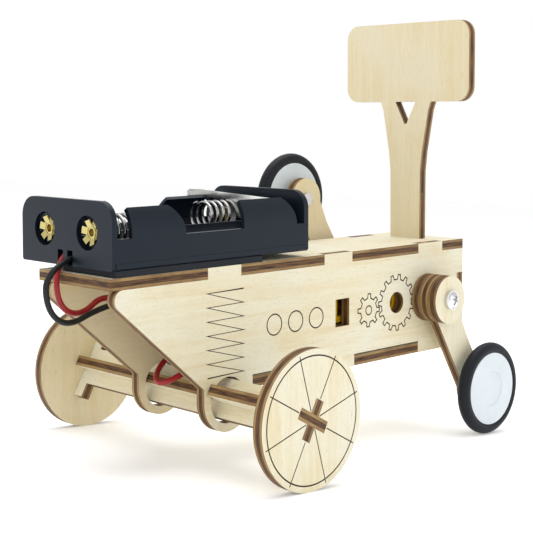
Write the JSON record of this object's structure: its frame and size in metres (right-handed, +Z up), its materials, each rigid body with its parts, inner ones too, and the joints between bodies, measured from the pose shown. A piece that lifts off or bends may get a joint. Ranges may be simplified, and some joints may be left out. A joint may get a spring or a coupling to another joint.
{
  "type": "walking robot car kit",
  "caption": "Plywood robot car kit: box body on a rear axle, two crank arms with tyred rollers turned by a gear motor, open battery holder on the deck and an upright board on a mast.",
  "frame": {"origin": "centre of the footprint at the floor, measured without the two wires", "axes": "+X towards the front board, +Y to the left side, +Z up"},
  "size_m": [0.139, 0.0784, 0.1077],
  "materials": {
    "ply": "laser-cut plywood, pale faces, burnt edges",
    "holder_plastic": "dark blue-grey moulded",
    "foam": "black foam tape",
    "plated_contacts": "nickel plated",
    "brass_rivet": "pale brass",
    "zinc_steel": "zinc plated",
    "motor_case": "drawn can",
    "white_plastic": "white, faintly blue",
    "tyre_rubber": "blue-black",
    "yellow_plastic": "yellow",
    "clear_plastic": "clear strap",
    "tinned_brass": "tinned tags",
    "red_insulation": "red insulation",
    "black_insulation": "black insulation"
  },
  "bodies": {
    "chassis": {"right_side_panel": "ply", "left_side_panel": "ply", "top_deck": "ply", "bottom_plate": "ply", "front_plate": "ply", "mast_board": "ply", "battery_holder": "holder_plastic", "holder_foam_tape": "foam", "contact_plates": "plated_contacts", "contact_rivets": "brass_rivet", "right_bay_spring": "plated_contacts", "left_bay_spring": "plated_contacts", "gearbox_half_right": "yellow_plastic", "gearbox_half_left": "yellow_plastic", "gearbox_screws": "zinc_steel", "gear_pins": "zinc_steel", "motor_can": "motor_case", "motor_end_cap": "white_plastic", "motor_terminals": "tinned_brass", "motor_strap": "clear_plastic", "red_wire": "red_insulation", "black_wire": "black_insulation"},
    "drive_arms": {"output_shaft": "white_plastic", "output_gear": "white_plastic", "right_arm_spacer": "ply", "right_arm": "ply", "right_arm_cover": "ply", "left_arm_spacer": "ply", "left_arm": "ply", "left_arm_cover": "ply", "arm_screws": "zinc_steel"},
    "second_gear": {"second_gear": "white_plastic"},
    "crown_gear": {"crown_gear": "white_plastic"},
    "motor_rotor": {"motor_pinion": "white_plastic", "motor_shaft": "zinc_steel"},
    "rear_axle": {"axle_strip_broad": "ply", "axle_strip_key": "ply", "rear_wheel_right": "ply", "rear_wheel_left": "ply"},
    "right_roller": {"right_roller_hub": "white_plastic", "right_roller_tyre": "tyre_rubber", "right_roller_pin": "zinc_steel"},
    "left_roller": {"left_roller_hub": "white_plastic", "left_roller_tyre": "tyre_rubber", "left_roller_pin": "zinc_steel"}
  },
  "joints": [
    {"name": "arm_drive", "type": "hinge", "parent": "chassis", "child": "drive_arms", "pos_m": [0.03765, -0.0012, 0.03565], "axis": [0, 1, 0], "continuous": true},
    {"name": "second_gear_spin", "type": "hinge", "parent": "chassis", "child": "second_gear", "pos_m": [0.02768, -0.0012, 0.03494], "axis": [0, 1, 0], "continuous": true},
    {"name": "crown_gear_spin", "type": "hinge", "parent": "chassis", "child": "crown_gear", "pos_m": [0.0197, -0.0012, 0.03438], "axis": [0, 1, 0], "continuous": true},
    {"name": "motor_spin", "type": "hinge", "parent": "chassis", "child": "motor_rotor", "pos_m": [0.01371, -0.0012, 0.03395], "axis": [0.9975, 0, 0.0709], "continuous": true},
    {"name": "rear_axle_spin", "type": "hinge", "parent": "chassis", "child": "rear_axle", "pos_m": [-0.03145, -0.0012, 0.0149], "axis": [0, 1, 0], "continuous": true},
    {"name": "right_roller_spin", "type": "hinge", "parent": "drive_arms", "child": "right_roller", "pos_m": [0.05469, -0.0225, 0.012], "axis": [0, 1, 0], "continuous": true},
    {"name": "left_roller_spin", "type": "hinge", "parent": "drive_arms", "child": "left_roller", "pos_m": [0.02061, 0.0201, 0.0593], "axis": [0, 1, 0], "continuous": true}
  ],
  "couplings": [
    {"joint": "second_gear_spin", "follows": "arm_drive", "ratio": -4},
    {"joint": "crown_gear_spin", "follows": "arm_drive", "ratio": 12},
    {"joint": "motor_spin", "follows": "arm_drive", "ratio": -48}
  ]
}
